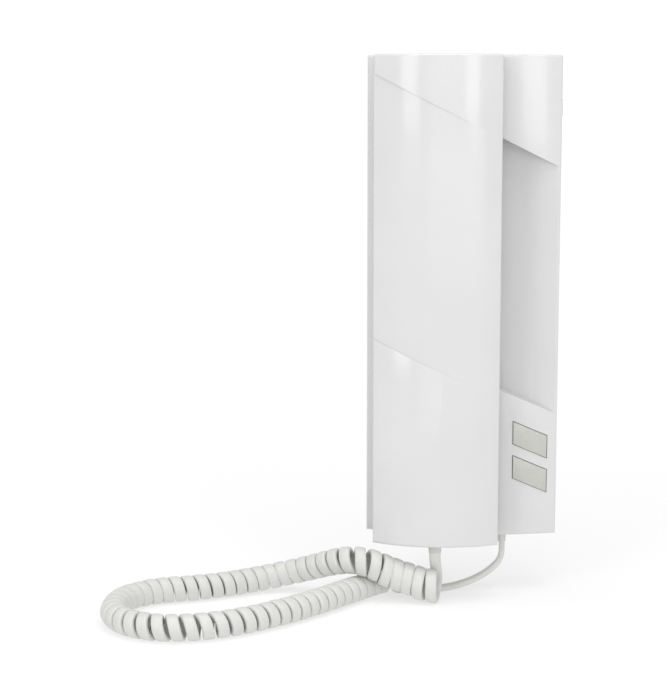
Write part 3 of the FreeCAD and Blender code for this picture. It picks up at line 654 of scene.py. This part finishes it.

# %% [markdown]
# ## The table top
# A pale matt board that fades into the white backdrop.  A curved backdrop sheet would hide
# the far edge too, but the phone stands free and is looked at from all sides, so the floor
# itself turns into an even glow with its distance from the middle.  Even next to the phone
# about a third of it is painted glow, which lightens the shadows cast on the floor.

# %% Pale table that fades out
floor_finish = Finish("pale_table")
floor_cloud = floor_finish.noise(0.4, 2.0)
floor_finish.set(Base_Color=floor_finish.mix(floor_cloud, (0.90, 0.90, 0.90), (0.93, 0.93, 0.93)),
                 Roughness=0.75 + floor_cloud * 0.1)
# least_glow is the share of painted glow next to the phone, which lightens the shadows cast there.
even_reach, glow_reach, least_glow = 0.02, 0.45, 0.35
distance = floor_finish.node("ShaderNodeVectorMath", {"operation": "LENGTH"},
                             {0: floor_finish.place}, "Value")
glow_share = floor_finish.ramp(distance, [(even_reach, least_glow), (glow_reach, 1.0)])
glow = floor_finish.node("ShaderNodeEmission", {}, {"Color": (1, 1, 1), "Strength": 1.02})
board = Signal(floor_finish, floor_finish.shader.outputs["BSDF"])
blend = floor_finish.node("ShaderNodeMixShader", {}, {"Fac": glow_share, 1: board, 2: glow})
floor_finish.feed(floor_finish.tree.nodes["Material Output"].inputs["Surface"], blend)
floor.data.materials.append(floor_finish.material)
print("table glow from", round(even_reach, 3), "m")

# %% [markdown]
# ## Softened edges on the two front shells
# Where the front steps up along a slanted line, the real moulding has a tiny round, and it
# is this round that draws the thin light line.  It could be a bump in the finish, but then
# the outline would stay sharp, so the engineered shell is copied, its triangles are joined,
# and only the edges on that line are bevelled.  On the base the ledge also has an inner
# corner at its foot, which gets the same round; the handset has none there.

# %% Copy a shell and round its ledge


def merged_copy(node, name):
    """A copy of an engineered piece, joined into one skin and left in edit mode."""
    source = frame["nodes"][node]
    piece = bpy.data.objects.new(name, source.data.copy())
    bpy.context.scene.collection.objects.link(piece)
    bpy.ops.object.select_all(action="DESELECT")
    piece.select_set(True)
    bpy.context.view_layer.objects.active = piece
    bpy.ops.mesh.customdata_custom_splitnormals_clear()
    bpy.ops.object.mode_set(mode="EDIT")
    bpy.ops.mesh.select_mode(type="EDGE")
    bpy.ops.mesh.select_all(action="SELECT")
    bpy.ops.mesh.remove_doubles(threshold=0.000002)
    bpy.ops.mesh.dissolve_limited(angle_limit=math.radians(0.05))
    bpy.ops.mesh.select_all(action="DESELECT")
    return piece


def select_edges(piece, wanted):
    """Select the edges for which wanted(start, end) holds, and say how many there are."""
    mesh = bmesh.from_edit_mesh(piece.data)
    count = 0
    for edge in mesh.edges:
        if wanted(edge.verts[0].co, edge.verts[1].co):
            edge.select = True
            count += 1
    bmesh.update_edit_mesh(piece.data)
    return count


def finish_copy(piece, node, body):
    """Leave edit mode, smooth the curved faces and let the copy stand for its node."""
    bpy.ops.object.mode_set(mode="OBJECT")
    bpy.ops.object.shade_smooth_by_angle(angle=math.radians(28))
    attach(piece, body)
    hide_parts(node)
    print(piece.name, len(piece.data.polygons), "faces")


def lower_line(x):
    """Height of the lower slanted line at x."""
    return lower_line_height + lower_line_slope * x


def arch(x, middle, crown, radius):
    """Place of an arched front along Y: its crown stands nearest the viewer."""
    return -(crown - radius + math.sqrt(radius ** 2 - (x - middle) ** 2))


def soften_ledge(node, name, body, left, right, rounding, front):
    """Copy a shell and round the ledge on its lower line and the corner behind that ledge."""
    piece = merged_copy(node, name)

    def on_line(point):
        return left < point.x < right and abs(point.z - lower_line(point.x)) < near

    def behind_front(point):
        return point.y - arch(point.x, *front)

    def on_ledge(start, end):
        return all(on_line(point) and abs(behind_front(point)) < near for point in (start, end))

    def in_corner(start, end):
        return all(on_line(point) and behind_front(point) > 2 * rounding for point in (start, end))

    for place, wanted in (("ledge", on_ledge), ("corner", in_corner)):
        bpy.ops.mesh.select_all(action="DESELECT")
        print(name, place, "edges", select_edges(piece, wanted))
        bpy.ops.mesh.bevel(offset=rounding, segments=3, affect="EDGES", clamp_overlap=True)
    finish_copy(piece, node, body)


near = 0.00012
lower_line_height, lower_line_slope = -0.0332, -0.447

# Each arched front as its middle, the crown's distance from the wall, and its radius.
handset_arch = (-0.0109, 0.0420, 0.055544)
base_arch = (0.0, 0.0170, 0.130294)
soften_ledge("handset_front_shell", "handset_front", "handset", -0.0383, -0.0060, 0.00035, handset_arch)
soften_ledge("base_cover", "wall_base", "base", 0.0165, 0.0360, 0.00070, base_arch)

# %% [markdown]
# ## Rounded button caps
# The two door buttons are silver lacquered caps with a small round along their rims.  The
# rim is what catches a thin light line, while the gap round it stays dark.  A bevel node in
# the finish would not show in the outline, so each cap is copied and its four front edges
# are bevelled, which keeps its arched face as it was engineered.

# %% Round the rims of the caps
cap_lip, cap_proud = 0.0008, 0.0005
cap_slope, cap_half_height = -0.45, 0.0051
cap_rounding = 0.00025
cap_front = (base_arch[0], base_arch[1] + cap_proud, base_arch[2] + cap_proud)


def round_cap(body):
    """Copy a cap and bevel the four edges of its arched face."""
    low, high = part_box(body)
    middle_x, middle_z = (low.x + high.x) / 2, (low.z + high.z) / 2
    piece = merged_copy(body, body + "_cap")

    def rims(point):
        """How far the point is from the lines of the left, right, upper and lower edge."""
        height = point.z - middle_z - cap_slope * (point.x - middle_x)
        return (point.x - low.x - cap_lip, point.x - high.x + cap_lip,
                height - cap_half_height, height + cap_half_height)

    def on_rim(start, end):
        if any(abs(point.y - arch(point.x, *cap_front)) > near for point in (start, end)):
            return False
        return any(abs(first) < near and abs(second) < near
                   for first, second in zip(rims(start), rims(end)))

    print(body, "rim edges", select_edges(piece, on_rim))
    bpy.ops.mesh.bevel(offset=cap_rounding, segments=3, affect="EDGES", clamp_overlap=True)
    finish_copy(piece, body, body)


round_cap("upper_button")
round_cap("lower_button")

# %% [markdown]
# ## Sleeves where the cord leaves
# A soft sleeve fills the round hole in each bottom edge and narrows onto the flat lead, so
# that the lead never rubs on hard plastic.  It could be lofted between two outlines, but by
# hand it is quicker to start from a short cylinder, which is the plug in the hole, and to
# extrude and stretch its lower face step by step into the collar and the oval taper.

# %% Model a sleeve from a plug
plug_radius, plug_height = 0.0030, 0.0027
collar_radius, collar_height = 0.0037, 0.0005
neck_wide, neck_narrow = 0.0031, 0.0021
soft_edge = 0.00018
bottom_edge_z = round(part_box("base_cover")[0].z, 4)

# Each step of the taper: how far down, and how much of the width and the thickness stays.
taper = [(0.0006, 0.96, 0.92), (0.0010, 0.97, 0.96), (0.0012, 0.98, 0.97), (0.0009, 0.99, 0.99)]


def select_lowest_face(piece):
    """Select only the faces that look straight down at the lowest level."""
    mesh = bmesh.from_edit_mesh(piece.data)
    low = min(vertex.co.z for vertex in mesh.verts)
    for face in mesh.faces:
        is_low = all(abs(vertex.co.z - low) < near for vertex in face.verts)
        face.select = is_low and face.normal.z < -0.9
    mesh.select_flush_mode()
    bmesh.update_edit_mesh(piece.data)


def cord_sleeve(name, lead_end, wide_along_x, node, body):
    """A plug in the hole, a collar over it and an oval taper down to the lead's end."""
    bpy.ops.object.select_all(action="DESELECT")
    bpy.ops.mesh.primitive_cylinder_add(
        vertices=64, radius=plug_radius, depth=plug_height,
        location=(lead_end.x, lead_end.y, bottom_edge_z + plug_height / 2))
    piece = bpy.context.object
    piece.name = name
    bpy.ops.object.transform_apply(location=True)
    bpy.ops.object.mode_set(mode="EDIT")
    bpy.ops.mesh.select_mode(type="FACE")
    bpy.ops.mesh.select_all(action="DESELECT")
    select_lowest_face(piece)

    def stretch(wide, narrow):
        size = (wide, narrow, 1.0) if wide_along_x else (narrow, wide, 1.0)
        bpy.ops.transform.resize(value=size, center_override=(lead_end.x, lead_end.y, bottom_edge_z))

    def lower(distance):
        bpy.ops.mesh.extrude_region_move(TRANSFORM_OT_translate={"value": (0.0, 0.0, -distance)})

    lower(0.0)
    stretch(collar_radius / plug_radius, collar_radius / plug_radius)
    lower(collar_height)
    lower(0.0)
    stretch(neck_wide / collar_radius, neck_narrow / collar_radius)
    for distance, wide, narrow in taper:
        lower(distance)
        stretch(wide, narrow)
    bpy.ops.mesh.bevel(offset=soft_edge, segments=2, affect="EDGES")
    bpy.ops.mesh.select_all(action="SELECT")
    bpy.ops.mesh.remove_doubles(threshold=0.000002)
    bpy.ops.mesh.normals_make_consistent(inside=False)
    bpy.ops.object.mode_set(mode="OBJECT")
    bpy.ops.object.shade_smooth_by_angle(angle=math.radians(40))
    piece.data.materials.append(finishes["cord_sleeve"])
    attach(piece, body)
    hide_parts(node)
    print(name, len(piece.data.polygons), "faces")


cord_sleeve("handset_sleeve", handset_exit, True, "handset_cord_grommet", "handset")
cord_sleeve("base_sleeve", base_exit, False, "base_cord_grommet", "base")

# %% Bring the scene up to date
bpy.context.view_layer.update()
